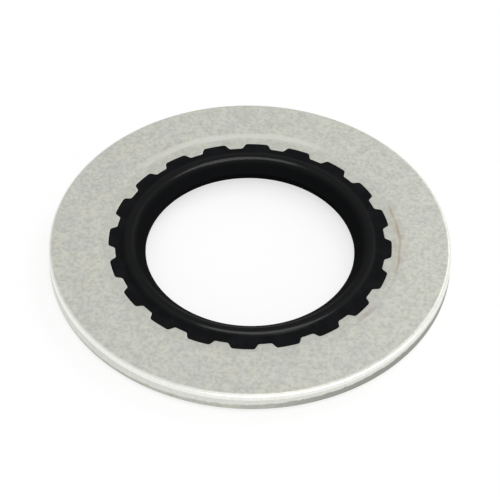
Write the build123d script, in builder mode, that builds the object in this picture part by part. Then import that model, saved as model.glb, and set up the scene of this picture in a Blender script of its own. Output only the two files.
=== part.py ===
from build123d import *
from math import radians, tan
import os

# Bonded sealing washer: a flat aluminium ring whose bore is cut into teeth and notches, and one rubber seal
# moulded into that bore. Millimetres. +Z is the axis of the washer. The origin is on the axis, at the level of
# the lower bead crest, which is what the washer lies on.

# Aluminium ring
ring_diameter = 33.0
ring_thickness = 1.8
rim_bevel = 0.3  # bevel on both outer edges

# Castellation, the joint line between aluminium and rubber
notch_count = 20
notch_mouth = 2.3  # width of a notch at its mouth, between the tips of two teeth
notch_depth = 0.54  # from the tips of the teeth to the floor of a notch
notch_draft = 25.0  # angle of a notch's flanks to its centre line
notch_corner_radius = 0.25  # rounding between the flanks and the floor

# Rubber seal, from its bore outwards
bore_diameter = 17.2
land_height = 0.5  # height of the narrow cylindrical wall at the bore
bead_offset = 1.3  # from the bore to the middle of the bead's crest
crest_width = 0.5  # width across the crest, before its corners are rounded
crest_radius = 0.35
bead_height = 0.28  # how far each bead stands proud of the face of the aluminium
bead_run_out = 0.5  # width of the slope from the crest down to the web
web_width = 0.4  # flat web between the foot of the bead and the tips of the teeth
web_recess = 0.05  # how far the web has shrunk below the face of the aluminium

# Sizes that follow
bore_radius = bore_diameter / 2
crest_middle = bore_radius + bead_offset
crest_inside = crest_middle - crest_width / 2
crest_outside = crest_middle + crest_width / 2
bead_foot = crest_outside + bead_run_out
tooth_tip_radius = bead_foot + web_width
notch_floor_radius = tooth_tip_radius + notch_depth
lip_end = bead_foot + web_width / 2  # the turned lip section runs into the web up to here

seal_height = ring_thickness + 2 * bead_height
web_thickness = ring_thickness - 2 * web_recess
mid_height = seal_height / 2
ring_bottom = mid_height - ring_thickness / 2
web_bottom = mid_height - web_thickness / 2

os.makedirs("parts", exist_ok=True)

# The joint line, drawn once and used by both pieces: a disc with a tapered lobe for every notch. Each lobe starts
# one notch depth inside the tips of the teeth, so that it is rooted in the disc, and a circle cuts its end round.
lobe_root_width = notch_mouth + 2 * notch_depth * tan(radians(notch_draft))
with BuildSketch() as joint_line:
    with PolarLocations(tooth_tip_radius - notch_depth, notch_count):
        Trapezoid(
            lobe_root_width,
            3 * notch_depth,
            90 - notch_draft,
            rotation=-90,
            align=(Align.CENTER, Align.MIN),
        )
    Circle(notch_floor_radius, mode=Mode.INTERSECT)
    Circle(tooth_tip_radius)
    lobe_corners = joint_line.vertices().group_by(SortBy.DISTANCE)[-1]
    fillet(lobe_corners, radius=notch_corner_radius)

# Aluminium ring: a flat stamped blank with the joint line punched out of it and its outer edges bevelled.
with BuildPart() as metal_ring:
    with BuildSketch(Plane.XY.offset(ring_bottom)):
        Circle(ring_diameter / 2)
        add(joint_line.sketch, mode=Mode.SUBTRACT)
    extrude(amount=ring_thickness)
    outer_wall = metal_ring.faces().filter_by(GeomType.CYLINDER).sort_by(SortBy.AREA)[-1]
    chamfer(outer_wall.edges().filter_by(GeomType.CIRCLE), length=rim_bevel)

# Rubber seal: a web that fills the joint line, and a lip section turned about the axis. The section is symmetrical
# about the middle of the ring, so only its upper half is drawn: bore wall, flare, crest, slope and web.
with BuildPart() as rubber_seal:
    with BuildSketch(Plane.XY.offset(web_bottom)):
        add(joint_line.sketch)
        Circle(crest_outside, mode=Mode.SUBTRACT)
    extrude(amount=web_thickness)
    with BuildSketch(Plane.XZ.shift_origin((0, 0, mid_height))) as lip_section:
        with BuildLine():
            Polyline(
                (bore_radius, 0),
                (bore_radius, land_height / 2),
                (crest_inside, seal_height / 2),
                (crest_outside, seal_height / 2),
                (bead_foot, web_thickness / 2),
                (lip_end, web_thickness / 2),
                (lip_end, 0),
                close=True,
            )
        make_face()
        crest_corners = lip_section.vertices().group_by(Axis.Y)[-1]
        fillet(crest_corners, radius=crest_radius)
        mirror(about=Plane.XZ)
    revolve(axis=Axis.Z)

metal_ring.part.label = "metal_ring"
export_step(metal_ring.part, "parts/metal_ring.step")
rubber_seal.part.label = "rubber_seal"
export_step(rubber_seal.part, "parts/rubber_seal.step")
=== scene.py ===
# %% [markdown]
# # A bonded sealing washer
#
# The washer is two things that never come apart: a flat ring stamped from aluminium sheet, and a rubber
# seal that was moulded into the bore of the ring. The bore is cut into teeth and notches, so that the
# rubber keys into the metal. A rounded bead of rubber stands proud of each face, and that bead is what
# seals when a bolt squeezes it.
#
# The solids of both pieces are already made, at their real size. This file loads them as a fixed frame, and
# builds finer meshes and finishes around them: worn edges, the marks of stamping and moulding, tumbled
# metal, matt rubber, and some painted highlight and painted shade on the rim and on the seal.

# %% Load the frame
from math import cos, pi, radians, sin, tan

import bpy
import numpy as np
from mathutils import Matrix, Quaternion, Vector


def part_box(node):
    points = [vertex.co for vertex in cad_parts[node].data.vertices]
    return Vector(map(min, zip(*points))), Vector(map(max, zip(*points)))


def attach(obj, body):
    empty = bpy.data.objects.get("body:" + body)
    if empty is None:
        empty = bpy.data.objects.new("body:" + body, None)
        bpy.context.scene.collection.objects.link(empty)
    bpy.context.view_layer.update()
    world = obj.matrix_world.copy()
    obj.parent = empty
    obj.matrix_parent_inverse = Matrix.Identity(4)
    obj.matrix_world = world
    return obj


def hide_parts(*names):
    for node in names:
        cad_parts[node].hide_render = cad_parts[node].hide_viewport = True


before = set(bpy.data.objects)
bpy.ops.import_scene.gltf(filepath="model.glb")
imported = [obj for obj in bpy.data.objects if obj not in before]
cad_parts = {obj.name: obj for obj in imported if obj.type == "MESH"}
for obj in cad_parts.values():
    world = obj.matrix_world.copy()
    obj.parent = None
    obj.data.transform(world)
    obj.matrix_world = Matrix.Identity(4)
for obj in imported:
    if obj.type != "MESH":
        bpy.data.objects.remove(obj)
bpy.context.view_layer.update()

# %% [markdown]
# ## Units and tools
#
# Blender measures in metres, and a washer is drawn in millimetres. Sizes below are written as `1.8 * mm`,
# which reads like a drawing and is still in metres. numpy holds the points of the meshes, because a ring
# that is swept round an axis is a grid of points, and a whole grid can be worked out in one expression.

mm = 0.001
scene = bpy.context.scene
print("solids in the frame:", sorted(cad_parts))

# %% [markdown]
# ## What the frame says
#
# A size that the frame already holds isn't written again. The distance of a solid's corners from the axis
# gives the four radii that matter: the rim, the tips of the teeth, the floors of the notches and the bore
# of the seal.

# %% Radii and heights from the frame
def reach(node):
    """The smallest and the largest distance of a solid's corners from the axis of the washer."""
    distances = [corner.co.xy.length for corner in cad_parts[node].data.vertices]
    return min(distances), max(distances)


tooth_tips, rim = reach("metal_ring")
bore, notch_floors = reach("rubber_seal")
ring_low, ring_high = (corner.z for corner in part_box("metal_ring"))
seal_low, seal_high = (corner.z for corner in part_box("rubber_seal"))
middle = (ring_low + ring_high) / 2
half_ring = (ring_high - ring_low) / 2
half_seal = (seal_high - seal_low) / 2
print(f"rim {rim / mm:.2f} mm, teeth {tooth_tips / mm:.2f} mm")
print(f"notches {notch_floors / mm:.2f} mm, bore {bore / mm:.2f} mm")

# %% [markdown]
# ## The camera
#
# A small flat part is best seen from well above the table, and through a long lens, which keeps the far
# side of the ring nearly as large as the near side. The camera looks down at a little under 50 degrees. It
# is placed by its distance, its height above the horizon and its turn round the washer, and then rolled by
# a degree, as a camera in the hand is.

# %% Camera
view_height = radians(46.5)
view_turn = radians(2.1)
view_roll = radians(1.0)
view_distance = 13.5 * rim
lens_length = 195  # millimetres
sensor_width = 36

centre = Vector((0, 0, middle))
towards_camera = Vector(
    (sin(view_turn) * cos(view_height), -cos(view_turn) * cos(view_height), sin(view_height))
)
camera = bpy.data.objects.new("camera", bpy.data.cameras.new("camera"))
camera.data.sensor_width = sensor_width
camera.data.lens = lens_length
camera.data.clip_start = 10 * mm
camera.location = centre + towards_camera * view_distance
camera.rotation_mode = "QUATERNION"
camera.rotation_quaternion = (-towards_camera).to_track_quat("-Z", "Y") @ Quaternion((0, 0, 1), view_roll)
scene.collection.objects.link(camera)
scene.camera = camera
print(f"camera {camera.location.length / mm:.0f} mm from the washer")

# %% [markdown]
# ## The joint line
#
# Seen from above, the line where metal and rubber meet runs along the tips of the teeth, down a slanted
# flank, along the floor of a notch and up again, twenty times. A curve could be drawn by hand for it, but a
# formula keeps twenty notches alike: its radius at each angle is a straight flank, clipped between two
# circles. An angle is counted from the middle of the nearest notch, so that one formula does for all.

# %% The joint line as it was drawn
notches = 20
notch_mouth = 2.3 * mm
notch_draft = radians(25)
angles_per_notch = 1200


def sharp_joint_line():
    """The joint line as the punch was drawn, with sharp corners."""
    angle = np.linspace(0, 2 * pi, notches * angles_per_notch, endpoint=False)
    pitch = 2 * pi / notches
    from_notch = np.abs((angle + pitch / 2) % pitch - pitch / 2)
    slope = tan(notch_draft)
    flank = (notch_mouth / 2 + slope * tooth_tips) / (np.sin(from_notch) + slope * np.cos(from_notch))
    radius = np.clip(flank, tooth_tips, notch_floors)
    return np.column_stack([radius * np.cos(angle), radius * np.sin(angle)])


drawn = sharp_joint_line()
line_length = np.hypot(*np.diff(drawn, axis=0, append=drawn[:1]).T).sum()
print(f"joint line {line_length / mm:.1f} mm long")

# %% [markdown]
# The formula gives sharp corners, and a punch has none. A Bevel modifier rounds the corners of a mesh, but
# this is still a line, and the mesh should be made from it once. So the line is walked round in even steps,
# and each point moves to the average of its neighbours. That rounds every corner alike, as wear rounds a
# tool, and leaves the long arcs where they were.

# %% The joint line as it was worn
corner_rounding = 0.25 * mm
corner_turn = radians(90) - notch_draft
fine_step = 0.01 * mm


def spread(line, count, weight=None):
    """A closed line of points, walked round again in `count` steps, shorter where its weight is greater."""
    closed = np.vstack([line, line[:1]])
    steps = np.hypot(*np.diff(closed, axis=0).T)
    if weight is not None:
        steps = steps * weight
    walked = np.concatenate([[0], np.cumsum(steps)])
    stops = np.linspace(0, walked[-1], count, endpoint=False)
    return np.column_stack([np.interp(stops, walked, closed[:, axis]) for axis in (0, 1)])


def smoothed(line, each_way):
    """A closed line of even steps, each point of it moved to the average of so many neighbours each way."""
    total = sum(np.roll(line, shift, axis=0) for shift in range(-each_way, each_way + 1))
    return total / (2 * each_way + 1)


even = spread(drawn, notches * round(line_length / notches / fine_step))
worn = smoothed(even, round(corner_rounding * tan(corner_turn / 2) / fine_step))
print(f"{len(worn)} fine steps, averaged over {corner_rounding / mm} mm corners")

# %% [markdown]
# The fine line has thousands of points, and the mesh needs far fewer. They are shared out by how much the
# line bends: short steps round the corners, long ones along the arcs. At each of them the mesh will have
# one column of faces, so the outward direction of the line is kept too.

# %% Columns of the mesh
columns_per_notch = 44
columns = notches * columns_per_notch
corner_pull = 0.4 * mm  # how strongly a bend draws columns to itself


def outward(line):
    """The direction at right angles to a closed line at each of its points, away from the axis."""
    along = np.roll(line, -1, axis=0) - np.roll(line, 1, axis=0)
    along /= np.hypot(*along.T)[:, None]
    return np.column_stack([along[:, 1], -along[:, 0]])


normals = outward(worn)
bend = np.hypot(*(np.roll(normals, -1, axis=0) - normals).T) / fine_step
joint = spread(worn, columns, weight=1 + bend * corner_pull)
joint_normal = outward(joint)
column_direction = joint / np.hypot(*joint.T)[:, None]
print(f"{columns} columns, steps of {np.hypot(*(joint[1:] - joint[:-1]).T).min() / mm:.3f} mm and more")

# %% [markdown]
# ## Sections
#
# Both pieces are rings, so each is drawn as a section and carried round the axis. A section is a list of
# places, and a place says how far it is from the axis, how high, and how much it follows the joint line
# instead of a circle: 0 is a plain circle, 1 is the joint line itself, moved outward by an offset. Real
# edges are never sharp, so a helper turns a run of corners into arcs.

# %% Places of a section
def place(radius, height, share=0.0, offset=0.0):
    """One place of a section. The height is above the middle of the washer."""
    return radius, height, share, offset


def rounded(corners, steps=8):
    """The places of an open run of corners (radius, height, rounding), each corner an arc of its rounding.

    The first and the last corner are only ends. A place close to each end of an arc keeps the flats flat.
    """
    hold = 0.02 * mm
    places = []
    for before, here, after in zip(corners, corners[1:], corners[2:]):
        corner = Vector(here[:2])
        rounding = here[2]
        back = (Vector(before[:2]) - corner).normalized()
        on = (Vector(after[:2]) - corner).normalized()
        half_angle = back.angle(on) / 2
        side = rounding / tan(half_angle)
        arc_centre = corner + (back + on).normalized() * (rounding / sin(half_angle))
        start = corner + back * side - arc_centre
        end = corner + on * side - arc_centre
        turn = start.angle(end)
        places.append(place(*(corner + back * (side + hold))))
        for step in range(steps + 1):
            done = turn * step / steps
            spoke = (start * sin(turn - done) + end * sin(done)) / sin(turn)
            places.append(place(*(arc_centre + spoke)))
        places.append(place(*(corner + on * (side + hold))))
    return places


def mirrored(places):
    """The same places below the middle of the washer, in the opposite order."""
    return [(radius, -height, share, offset) for radius, height, share, offset in reversed(places)]


right_angle = rounded([(0, 0, 0), (mm, 0, 0.5 * mm), (mm, mm, 0)])
print(f"one rounded corner takes {len(right_angle)} places")

# %% [markdown]
# ## From a section to a ring
#
# A Screw modifier could turn a section round the axis, but not one that changes from tooth to notch. So the
# points are worked out here, a row of them for each place of the section. The surface of a ring has no ends
# in either direction, so its mesh is a grid whose last row and last column join on to the first.

# %% From a section to a mesh
def ring_mesh(name, section):
    """A closed ring: the section carried round the washer, with one column for each point of the line."""
    points = np.empty((len(section), columns, 3))
    for row, (radius, height, share, offset) in enumerate(section):
        circle = column_direction * radius
        line = joint + joint_normal * offset
        points[row, :, :2] = circle * (1 - share) + line * share
        points[row, :, 2] = middle + height
    rows = np.arange(len(section))[:, None]
    cols = np.arange(columns)[None, :]
    next_row = (rows + 1) % len(section)
    next_col = (cols + 1) % columns
    here, below = rows * columns, next_row * columns
    corners = [here + cols, below + cols, below + next_col, here + next_col]
    faces = np.stack(np.broadcast_arrays(*corners), axis=-1).reshape(-1, 4)
    mesh = bpy.data.meshes.new(name)
    mesh.from_pydata(points.reshape(-1, 3).tolist(), [], faces.tolist())
    mesh.validate()
    mesh.shade_smooth()
    piece = bpy.data.objects.new(name, mesh)
    scene.collection.objects.link(piece)
    print(f"{name}: {len(section)} rows, {2 * len(faces)} triangles")
    return piece


# %% [markdown]
# ## The stamped ring
#
# The blank is punched from sheet 1.8 mm thick and tumbled with stones, which rounds its outer edges and
# takes the bite off the teeth. The punch drags the metal down a little along the teeth before it cuts, and
# the mould later grips the ring hard round them and presses the face down, with a soft slope out to the
# open face. Both marks are only hundredths of a millimetre deep. A Bump node could fake them, but rows of
# real faces catch the light truly from every side, so the section carries them.

# %% Section of the ring
rim_rounding = 0.3 * mm
tooth_edge = 0.07 * mm  # rounding of the edge along the teeth
drag = 0.025 * mm  # how far the punch pulled the face down at the teeth
drag_rows = 6
land_edge = 12.85 * mm  # where the mould stopped gripping
land_depth = 0.03 * mm  # how far its grip pressed the face down
land_slope = 0.75 * mm  # width of the slope down to the pressed land
land_rows = 6
flat_start = land_edge + 0.05 * mm  # a place just past the slope keeps the open face flat


def tooth_edge_places(steps=4):
    """The rounded edge between the joint wall and the face, which follows the joint line."""
    floor = half_ring - land_depth - drag - tooth_edge
    turns = [radians(90) * step / steps for step in range(steps + 1)]
    return [place(0, floor + tooth_edge * sin(turn), 1, tooth_edge * (1 - cos(turn))) for turn in turns]


def drag_places():
    """The pressed land, where it rises out of the drag of the punch."""
    inner = land_edge - land_slope
    shares = [1 - (row + 1) / drag_rows for row in range(drag_rows)]
    return [place(inner, half_ring - land_depth - drag * share**2, share, tooth_edge) for share in shares]


def land_places():
    """The soft slope from the pressed land up to the open face."""
    places = []
    for row in range(land_rows):
        share = (row + 1) / land_rows
        climb = share * share * (3 - 2 * share)
        height = half_ring - land_depth * (1 - climb)
        places.append(place(land_edge - land_slope * (1 - share), height))
    return places


upper_half = tooth_edge_places() + drag_places() + land_places()
upper_half.append(place(flat_start, half_ring))
upper_half += rounded([(land_edge, half_ring, 0), (rim, half_ring, rim_rounding), (rim, 0, 0)])
ring_section = upper_half + mirrored(upper_half)
stamped_ring = ring_mesh("stamped_ring", ring_section)

# %% [markdown]
# ## The moulded seal
#
# Warm rubber is pressed into a mould that holds the ring. The section starts in the bore, at a narrow wall
# with a ridge of flash where the two halves of the mould met. It flares up to the rounded crest of the bead
# and slopes down to a thin web, and the web fills the notches. Rubber shrinks as it cools, so the web lies
# a little below the metal and its surface is slightly hollow, but it stays up where it is bonded. Each bend
# is an arc of the section, so the bead needs no modifier to be smooth.

# %% Section of the seal
land_height = 0.5 * mm
bead_middle = bore + 1.3 * mm
crest_width = 0.5 * mm
crest_rounding = 0.60 * mm
run_out = 0.5 * mm
web_recess = 0.05 * mm
web_hollow = 0.02 * mm
bore_rounding = 0.1 * mm
foot_rounding = 0.3 * mm
web_clearance = 0.15 * mm  # from the foot of the bead to the web, past the rounding
bite = 0.02 * mm  # how far the rubber's edge reaches under the rounded edge of the teeth
flash = 0.03 * mm  # the thin ridge left where the two halves of the mould met
flash_root = 0.04 * mm  # half of its thickness where it grows out of the bore
flash_tip = 0.008 * mm  # half of its thickness at its tip
web_rows = 8

crest_inside = bead_middle - crest_width / 2
crest_outside = bead_middle + crest_width / 2
bead_foot = crest_outside + run_out
web_start = bead_foot + web_clearance
web_level = half_ring - web_recess

flash_places = [place(bore - flash, flash_tip), place(bore, flash_root)]
lip_half = rounded(
    [
        (bore, flash_root, 0),
        (bore, land_height / 2, bore_rounding),
        (crest_inside, half_seal, crest_rounding),
        (crest_outside, half_seal, crest_rounding),
        (bead_foot, web_level, foot_rounding),
        (tooth_tips, web_level, 0),
    ]
)


def web_places():
    """The web between the foot of the bead and the joint line, hollow in the middle."""
    shares = [(row + 1) / web_rows for row in range(web_rows)]
    return [place(web_start, web_level - web_hollow * sin(pi * share), share, bite) for share in shares]


seal_upper = flash_places + lip_half + web_places()
seal_section = seal_upper + mirrored(seal_upper)
moulded_seal = ring_mesh("moulded_seal", seal_section)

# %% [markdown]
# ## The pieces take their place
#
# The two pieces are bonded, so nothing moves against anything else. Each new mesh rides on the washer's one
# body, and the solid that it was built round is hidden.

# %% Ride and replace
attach(stamped_ring, "root")
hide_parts("metal_ring")
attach(moulded_seal, "root")
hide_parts("rubber_seal")
print("pieces:", stamped_ring.name, "and", moulded_seal.name)

# %% [markdown]
# ## Sums with sockets
#
# A finish is a sum: some noise here, a stain there, a little more shine on an edge. Wired by hand, such a
# sum is a thicket of nodes. The small class below wraps one socket, so that a sum on it can be written as
# Python, and each sign adds the node that does the work. `1 - mask` works as well as `mask * 0.3`. Every
# other kind of node comes from its one method `node`.

# %% A wire for sums
class Wire:
    """One socket of a node tree, which can be used in sums."""

    def __init__(self, socket):
        self.socket = socket
        self.tree = socket.id_data

    def node(self, kind, settings, inputs, output=0):
        """Adds any node: first its settings, then the values or the wires of its sockets."""
        made = self.tree.nodes.new("ShaderNode" + kind)
        for name, value in settings.items():
            setattr(made, name, value)
        for name, value in inputs.items():
            plug(made.inputs[name], value)
        return Wire(made.outputs[output])

    def maths(self, operation, first, second=0.0):
        """A Math node, or a Vector Math node where this wire carries a vector."""
        if self.socket.type == "VECTOR":
            triple = (second,) * 3 if isinstance(second, (int, float)) else second
            return self.node("VectorMath", {"operation": operation}, {0: first, 1: triple})
        return self.node("Math", {"operation": operation}, {0: first, 1: second})

    def __add__(self, other):
        return self.maths("ADD", self, other)

    def __sub__(self, other):
        return self.maths("SUBTRACT", self, other)

    def __rsub__(self, other):
        return self.maths("SUBTRACT", other, self)

    def __mul__(self, other):
        return self.maths("MULTIPLY", self, other)

    def __pow__(self, power):
        return self.maths("POWER", self, power)

    def __abs__(self):
        return self.maths("ABSOLUTE", self)

    __radd__ = __add__
    __rmul__ = __mul__

    def rises(self, low, high):
        """0 up to low, 1 from high on, and a soft rise between them."""
        limits = {"Value": self, "From Min": low, "From Max": high}
        return self.node("MapRange", {"interpolation_type": "SMOOTHSTEP"}, limits)

    def near(self, target, width, soft):
        """1 within half the width of a target value, and 0 past a soft edge."""
        return 1 - abs(self - target).rises(width / 2, width / 2 + soft)

    def tint(self, plain, tinted):
        """A colour that goes from plain to tinted as this wire goes from 0 to 1."""
        return self.node("Mix", {"data_type": "RGBA"}, {0: self, 6: plain, 7: tinted}, output=2)


def plug(socket, value):
    """Puts a wire, a number or a colour into a socket."""
    if isinstance(value, Wire):
        socket.id_data.links.new(value.socket, socket)
    else:
        socket.default_value = value


print("a wire can also be asked for:", [name for name in vars(Wire) if not name.startswith("_")])

# %% [markdown]
# ## Places and noise
#
# Every mark on the washer has a place: so far from the axis, so far round it, so far up. Those three are
# worked out once from the place on the piece itself, in millimetres, so that a mark stays where it is when
# the washer is turned over, and its size can be written as a rule would measure it. The rest is cloudy
# noise at a chosen scale.

# %% Places and noise
def new_finish(name):
    """A new material: itself, its shader, and a wire that carries the place on the piece in millimetres."""
    material = bpy.data.materials.new(name)
    material.use_nodes = True
    shader = material.node_tree.nodes["Principled BSDF"]
    spot = Wire(shader.outputs[0]).node("TexCoord", {}, {}, output="Object") * (1 / mm)
    return material, shader, spot


widest_cloud = 0.35  # lumps of noise to the millimetre


def noise(spot, per_mm, detail=2.0, roughness=0.5):
    """Cloudy noise from 0 to 1, with so many lumps to the millimetre.

    A number that is added to the spot moves the cloud, so that no two clouds lie alike.
    """
    settings = {"Vector": spot, "Scale": per_mm, "Detail": detail, "Roughness": roughness}
    return spot.node("TexNoise", {}, settings)


def coordinate(spot, axis):
    """One of the three numbers of a place: 0 for x, 1 for y, 2 for z."""
    return spot.node("SeparateXYZ", {}, {0: spot}, output=axis)


def from_axis(spot):
    """How far a place is from the axis of the washer, in millimetres."""
    x, y = coordinate(spot, 0), coordinate(spot, 1)
    return (x * x + y * y) ** 0.5


def round_axis(spot):
    """How far round the axis a place is, in degrees from -180 to 180."""
    x, y = coordinate(spot, 0), coordinate(spot, 1)
    return y.maths("ARCTAN2", y, x) * (180 / pi)


def above_middle(spot):
    """How far a place is above the middle of the washer's thickness, in millimetres."""
    return coordinate(spot, 2) - middle / mm


def bumped(relief):
    """The wire for a shader's Normal, from a relief in millimetres."""
    return relief.node("Bump", {}, {"Height": relief, "Distance": 1 * mm, "Strength": 1.0})


print(f"the widest clouds have lumps {1 / widest_cloud:.1f} mm wide")

# %% [markdown]
# ## The skin of tumbled aluminium
#
# Tumbling with stones leaves a satin skin: bright, but too finely pitted to be a mirror. A picture of metal
# could be wrapped round the ring, but it would have a seam and only one sharpness, and noise has neither.
# Three clouds lie over each other: wide warm patches, smaller cool ones, and the dull floors of the pits.
# The warm and the cool colour differ from the clean one by only a few hundredths, because clean metal is
# nearly even. The pits are darker, but each of them is only a fraction of a millimetre wide.

# %% Skin of the sheet
clean_metal = (0.564, 0.572, 0.517, 1)
warm_metal = (0.575, 0.571, 0.502, 1)
cool_metal = (0.525, 0.537, 0.496, 1)
dull_metal = (0.415, 0.421, 0.384, 1)


def sheet_skin(spot, patches):
    """The colour of the tumbled sheet."""
    cloud = noise(spot, widest_cloud, detail=3)
    pits = noise(spot + 15.0, 3.2, detail=4, roughness=0.65)
    colour = cloud.rises(0.4, 0.65).tint(clean_metal, warm_metal)
    colour = patches.rises(0.42, 0.66).tint(colour, cool_metal)
    return (pits.rises(0.38, 0.70) * 0.8).tint(colour, dull_metal)


print("the cool patches are", round(1 - cool_metal[1] / clean_metal[1], 3), "darker than clean metal")

# %% [markdown]
# ## Marks of the mould
#
# The mould grips the ring on a land round the teeth while the rubber is pressed in. Its edge leaves a dull
# line, and the metal inside that line stays greyer. On one side the slope of the land is tinted lighter, as
# a painted sheen where that slope catches the light. On another a film of oil was burnt on, as a brown line
# that comes and goes. Each mark is a band at a radius, cut to a stretch of angle. The radius wanders by a
# tenth of a millimetre or two, because a band that is perfectly round looks drawn.

# %% Marks of the mould
# a painted sheen: the lighter metal for one side of the land's slope
painted_sheen_metal = (0.615, 0.619, 0.564, 1)
burnt_oil = (0.340, 0.225, 0.130, 1)
rust_trace = (0.300, 0.170, 0.160, 1)

grip_line = (land_edge - land_slope) / mm + 0.18  # radius of the line that the edge of the mould left
grip_side = -4.0  # degrees round the axis: where that line is plainest
painted_sheen_side = 100.0  # where the slope is tinted lighter, as a painted sheen
oil_side = 5.0  # where the oil was burnt on
rust_side = -36.0  # a small trace of rust from the mould
smudge_side = 127.0  # a faint smudge of oil


def mould_marks(colour, spot, radius, angle, above):
    """The colour of the face with the marks that moulding left on it."""
    wander = radius + (noise(spot, 0.5) - 0.5) * 0.35
    upper = above.rises(0.0, 0.5)
    plainness = 0.4 + angle.near(grip_side, width=74, soft=20) * 0.6
    gripped = wander.near(grip_line, width=0.08, soft=0.16) * plainness
    inside = 1 - wander.rises(grip_line - 0.48, grip_line - 0.03)
    # Painted sheen: the slope of the land is tinted lighter on one side only.
    painted_sheen = wander.near(grip_line + 0.32, width=0.30, soft=0.28)
    painted_sheen = painted_sheen * angle.near(painted_sheen_side, width=56, soft=16) * upper
    colour = (gripped * 0.35).tint(colour, dull_metal)
    colour = (inside * 0.3).tint(colour, dull_metal)
    colour = (painted_sheen * 0.8).tint(colour, painted_sheen_metal)

    film = (0.35 + noise(spot + 7.0, 0.8, detail=3).rises(0.35, 0.65) * 0.65) * upper
    oiled = angle.near(oil_side, width=26, soft=9) * film
    rust = wander.near(grip_line - 0.13, width=0.15, soft=0.25)
    rust = rust * angle.near(rust_side, width=4, soft=5) * film
    smudge = wander.near(grip_line + 0.42, width=0.6, soft=0.8)
    smudge = smudge * angle.near(smudge_side, width=5, soft=7) * film
    colour = (wander.near(grip_line, width=0.5, soft=0.5) * oiled * 0.16).tint(colour, burnt_oil)
    colour = (wander.near(grip_line, width=0.08, soft=0.12) * oiled * 0.45).tint(colour, burnt_oil)
    colour = (rust * 0.35).tint(colour, rust_trace)
    return (smudge * 0.12).tint(colour, burnt_oil)


print(f"the mould's edge lay at radius {grip_line:.2f} mm")

# %% [markdown]
# ## The blanked edge
#
# An edge that was punched is never one colour. The tool first rolls the corner over and burnishes the wall
# as it slides past, and then the rest of the thickness tears. So the wall is bright above, and dull and
# scored below, and the torn part is tallest where the gap between punch and die was widest. Tumbling
# polished both corners. The colours are partly painted light as well: the polished corners and the
# burnished wall are tinted bright as a painted highlight, and the torn foot is tinted dark as painted
# shade, darkest on one side and dying away round the other: a cosine of the angle.

# %% The blanked edge
# partly the real brightness of polished aluminium, and partly a painted highlight on the rounded rim
polish_and_highlight_metal = (0.915, 0.915, 0.868, 1)
# partly the real dull metal of the tear, and partly painted shade along the foot of the wall
tear_and_shade_metal = (0.315, 0.320, 0.293, 1)

tear_and_shade_side = -26.0  # degrees round the axis: where the edge tore highest, and where the painted shade along its foot is darkest
tear_level = -0.35  # mean height of the tear above the middle of the wall, in millimetres
tear_swing = 0.35  # how much higher the tear, and the painted shade on it, reach on the darkest side, and lower on the other
tear_raggedness = 0.35
edge_start = (rim - rim_rounding) / mm + 0.02
upper_corner = half_ring / mm - 0.34  # heights of the two polished bands above the middle of the wall, which also carry a painted highlight
lower_corner = 0.10 - half_ring / mm


def blanked_edge(spot, radius, angle, above):
    """The polished corners and the burnished wall, both partly painted highlight, the torn foot, partly
    painted shade, and how much a place faces the side where that shade is darkest.
    """
    turn = (angle - tear_and_shade_side) * (pi / 180)
    facing = turn.maths("COSINE", turn)
    ragged = (noise(spot, 1.4, detail=3) - 0.5) * tear_raggedness
    tear_top = tear_level + facing * tear_swing + ragged
    past_tear = (above - tear_top).rises(-0.07, 0.07)
    edge = radius.rises(edge_start, edge_start + 0.14)
    # The bands on the two corners are partly real polish and partly painted highlight: bright metal where
    # the rim shows its bright line.
    upper_polish_and_highlight = above.near(upper_corner, width=0.40, soft=0.08)
    lower_polish_and_highlight = above.near(lower_corner, width=0.10, soft=0.08)
    polish_and_highlight = edge * (upper_polish_and_highlight + lower_polish_and_highlight)
    wall = edge * (1 - polish_and_highlight)
    return polish_and_highlight, wall * past_tear, wall * (1 - past_tear), facing.rises(0.35, 0.92)


print(f"the polish starts at radius {edge_start:.2f} mm, and the wall is {2 * half_ring / mm:.1f} mm high")

# %% [markdown]
# ## Aluminium, put together
#
# The shader is a metal of middling roughness, smoother where it is polished and rougher where it tore.
# Relief that is finer than the mesh goes through one Bump node: the grain of the pits, the faint lines of
# the rolling mill that made the sheet, a few knocks, and the upright scores of the torn edge. All are
# thousandths of a millimetre deep.

# %% Aluminium finish
satin = 0.38  # roughness of the tumbled face, before its grain
grain_depth = 0.0045  # the depths of the relief are in millimetres
rolled_depth = 0.0012
knock_depth = 0.004
score_depth = 0.015


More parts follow.
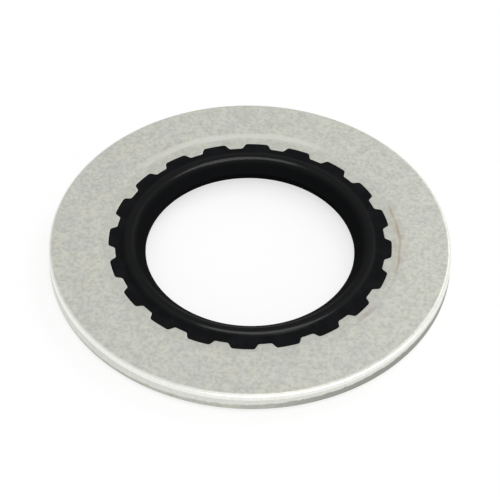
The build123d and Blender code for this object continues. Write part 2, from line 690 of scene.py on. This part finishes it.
def aluminium():
    """The finish of the ring."""
    material, shader, spot = new_finish("tumbled_aluminium")
    radius, angle, above = from_axis(spot), round_axis(spot), above_middle(spot)
    patches = noise(spot + 40.0, 1.1, detail=3)
    scores = noise(spot * (1.0, 1.0, 0.12), 7.0, detail=2)
    polish_and_highlight, burnish_and_highlight, tear_and_shade, painted_shade_side = blanked_edge(spot, radius, angle, above)

    colour = mould_marks(sheet_skin(spot, patches), spot, radius, angle, above)
    # Painted highlight: the polished corners and the burnished wall are tinted towards bright metal, partly
    # for real polish.
    colour = (polish_and_highlight * (0.65 + scores * 0.5) + burnish_and_highlight * 0.45).tint(colour, polish_and_highlight_metal)
    # Painted shade: the torn foot of the wall is tinted dark, most on one side and less round the other.
    colour = (tear_and_shade * (0.12 + painted_shade_side * 0.88)).tint(colour, tear_and_shade_metal)

    grain = noise(spot, 4.5, detail=3, roughness=0.6)
    rolled = noise(spot * (0.5, 7.0, 7.0), 1.0, detail=2)
    knocks = spot.node("TexVoronoi", {}, {"Vector": spot, "Scale": 0.9, "Randomness": 1.0})
    knock = 1 - knocks.rises(0.03, 0.11)
    relief = grain * grain_depth + rolled * rolled_depth - knock * knock_depth + tear_and_shade * scores * score_depth

    plug(shader.inputs["Base Color"], colour)
    plug(shader.inputs["Roughness"], satin + grain * 0.10 + patches * 0.06 - polish_and_highlight * 0.16 + tear_and_shade * 0.12)
    plug(shader.inputs["Normal"], bumped(relief))
    shader.inputs["Metallic"].default_value = 1.0
    return material


stamped_ring.data.materials.append(aluminium())
print("finish:", stamped_ring.data.materials[0].name)

# %% [markdown]
# ## Moulded rubber
#
# Carbon black makes rubber one of the darkest things on a bench, so nearly all that is seen of it is the
# soft shine on its rounded parts. The mould was polished along the crest of the bead, because that line has
# to seal, and etched outside it, so that a grey bloom clings to the web. One glossy shader all over would
# make it plastic. So the shader is nearly black and very matt, with almost no shine of its own, a cloudy
# grey film lies on the web, and a thin, smooth coat lies on the crest alone. The film is partly that bloom
# and partly a painted sheen on the web, which faces up, while the steep flare inside the crest is left
# darker as painted shade.

# %% Rubber finish
soot = (0.0017, 0.0020, 0.0025, 1)
bloom_and_sheen = (0.0072, 0.0078, 0.0088, 1)  # the faint grey film of old rubber, laid on the web partly as a painted sheen
polished_crest = bead_middle / mm - 0.05  # radius of the middle of the band that the mould polished
matt = 0.80  # roughness of the rubber, before its grain


def rubber():
    """The finish of the seal."""
    material, shader, spot = new_finish("moulded_rubber")
    cloud = noise(spot, 0.9, detail=3)
    grain = noise(spot, 7.0, detail=3, roughness=0.6)
    radius = from_axis(spot)
    crest = radius.near(polished_crest, width=0.6, soft=0.35)
    # Grey film on the web only: partly real bloom, partly a painted sheen on the upward web, while the
    # flare stays darker as painted shade.
    bloom_and_sheen_mask = radius.rises(polished_crest, polished_crest + 0.7)
    relief = grain * 0.006 + noise(spot, 1.6) * 0.01

    plug(shader.inputs["Base Color"], (bloom_and_sheen_mask * (0.35 + cloud.rises(0.4, 0.7) * 0.65)).tint(soot, bloom_and_sheen))
    plug(shader.inputs["Roughness"], matt + grain * 0.12 - crest * 0.20)
    plug(shader.inputs["Normal"], bumped(relief))
    plug(shader.inputs["Coat Weight"], crest * (0.03 + grain * 0.05))
    shader.inputs["Coat Roughness"].default_value = 0.15
    shader.inputs["Specular IOR Level"].default_value = 0.03
    return material


moulded_seal.data.materials.append(rubber())
print("finish:", moulded_seal.data.materials[0].name)

# %% [markdown]
# ## The table
#
# The washer lies on a white sheet that reaches further than the camera sees. The sheet is matt and only
# middling white, so it takes the washer's soft shadow, and it glows for the camera and in reflections, so
# that its open parts come out white. More light would make it white as well, and would bleach the metal.

# %% Floor
floor_size = 4.0
floor_paper = (0.46, 0.46, 0.46, 1)
floor_fibre = (0.44, 0.44, 0.44, 1)
floor_glow = 0.672
black = (0, 0, 0, 1)
white = (1, 1, 1, 1)


def seen(start):
    """1 for the rays of the camera and those that bring reflections, 0 for those that only bring light."""
    kinds = ("Is Camera Ray", "Is Glossy Ray", "Is Transmission Ray")
    camera_ray, glossy_ray, clear_ray = (start.node("LightPath", {}, {}, output=kind) for kind in kinds)
    total = camera_ray + glossy_ray + clear_ray
    return total.maths("MINIMUM", total, 1.0)


def sheet_of_white():
    """The finish of the floor."""
    material, shader, spot = new_finish("white_sheet")
    fibres = noise(spot, 0.8, detail=2)
    plug(shader.inputs["Base Color"], (fibres * 0.2).tint(floor_paper, floor_fibre))
    plug(shader.inputs["Emission Color"], seen(spot).tint(black, white))
    shader.inputs["Emission Strength"].default_value = floor_glow
    shader.inputs["Roughness"].default_value = 0.9
    shader.inputs["Specular IOR Level"].default_value = 0.0
    return material


floor_reach = floor_size / 2
sheet_mesh = bpy.data.meshes.new("floor")
sheet_corners = [(x * floor_reach, y * floor_reach, 0) for x, y in ((-1, -1), (1, -1), (1, 1), (-1, 1))]
sheet_mesh.from_pydata(sheet_corners, [], [(0, 1, 2, 3)])
floor = bpy.data.objects.new("floor", sheet_mesh)
floor.data.materials.append(sheet_of_white())
scene.collection.objects.link(floor)
print("floor:", floor_size, "m square")

# %% [markdown]
# ## The light
#
# Metal shows what stands round it, so light for metal is made of large pale surfaces. The world is a tent:
# white to the camera and in reflections, and a softer fill for everything else. Three lamps then shape what
# the tent leaves flat. One hangs high in front. A wide, low strip in front on the right draws the bright
# line along the near edge of the rim. A soft one behind on the right makes the face a shade lighter there.
#
# Black rubber shows its form by its shine alone, and needs far more light for that than pale metal does. In
# a studio that light is kept off the metal with a card. In Blender a lamp can be linked to the pieces that
# it lights, and hidden from their matt part. So a fourth lamp, wide and nearly overhead, is seen only in
# the shine of the seal. It draws a highlight on the near and far parts of the bead and leaves its sides
# dark, while the black stays as black as it is written and the metal isn't bleached from any side.

# %% World and softboxes
tent_fill = 0.56
white_power = 4  # watts from each square metre of a lamp's face that is as bright as the tent


def tent():
    """The world: its strength is 1 for what is seen, and the fill for what only lights."""
    world = bpy.data.worlds.new("tent")
    world.use_nodes = True
    background = world.node_tree.nodes["Background"]
    share = seen(Wire(background.outputs[0]))
    plug(background.inputs["Color"], white)
    plug(background.inputs["Strength"], tent_fill + share * (1 - tent_fill))
    return world


def softbox(name, turn, height, distance, width, depth, glow, only=None):
    """A lamp with a rectangular face, aimed at the washer from a turn and a height, in degrees.

    Its glow is how bright its face is, where 1 is as bright as the tent. A larger face needs more power.
    It lights every piece. Where `only` one is given, it draws a highlight on that piece and nothing more.
    """
    lamp = bpy.data.lights.new(name, "AREA")
    lamp.shape = "RECTANGLE"
    lamp.size = width
    lamp.size_y = depth
    lamp.energy = white_power * width * depth * glow
    box = bpy.data.objects.new(name, lamp)
    turn, height = radians(turn), radians(height)
    away = Vector((sin(turn) * cos(height), -cos(turn) * cos(height), sin(height)))
    box.location = centre + away * distance
    box.rotation_mode = "QUATERNION"
    box.rotation_quaternion = away.to_track_quat("Z", "Y")
    scene.collection.objects.link(box)
    if only:
        lit = bpy.data.collections.new(name + "_lights")
        lit.objects.link(only)
        box.light_linking.receiver_collection = lit
        box.visible_diffuse = False


scene.world = tent()
softbox("high_front", turn=14, height=66, distance=0.45, width=0.12, depth=0.12, glow=3.0)
softbox("low_strip", turn=38, height=9, distance=0.60, width=1.50, depth=0.18, glow=1.45)
softbox("far_right", turn=140, height=36, distance=0.50, width=0.24, depth=0.30, glow=1.2)
softbox("overhead", turn=70, height=81, distance=0.45, width=0.28, depth=0.40, glow=18.0, only=moulded_seal)
scene.view_settings.view_transform = "Standard"

# %% [markdown]
# ## The end
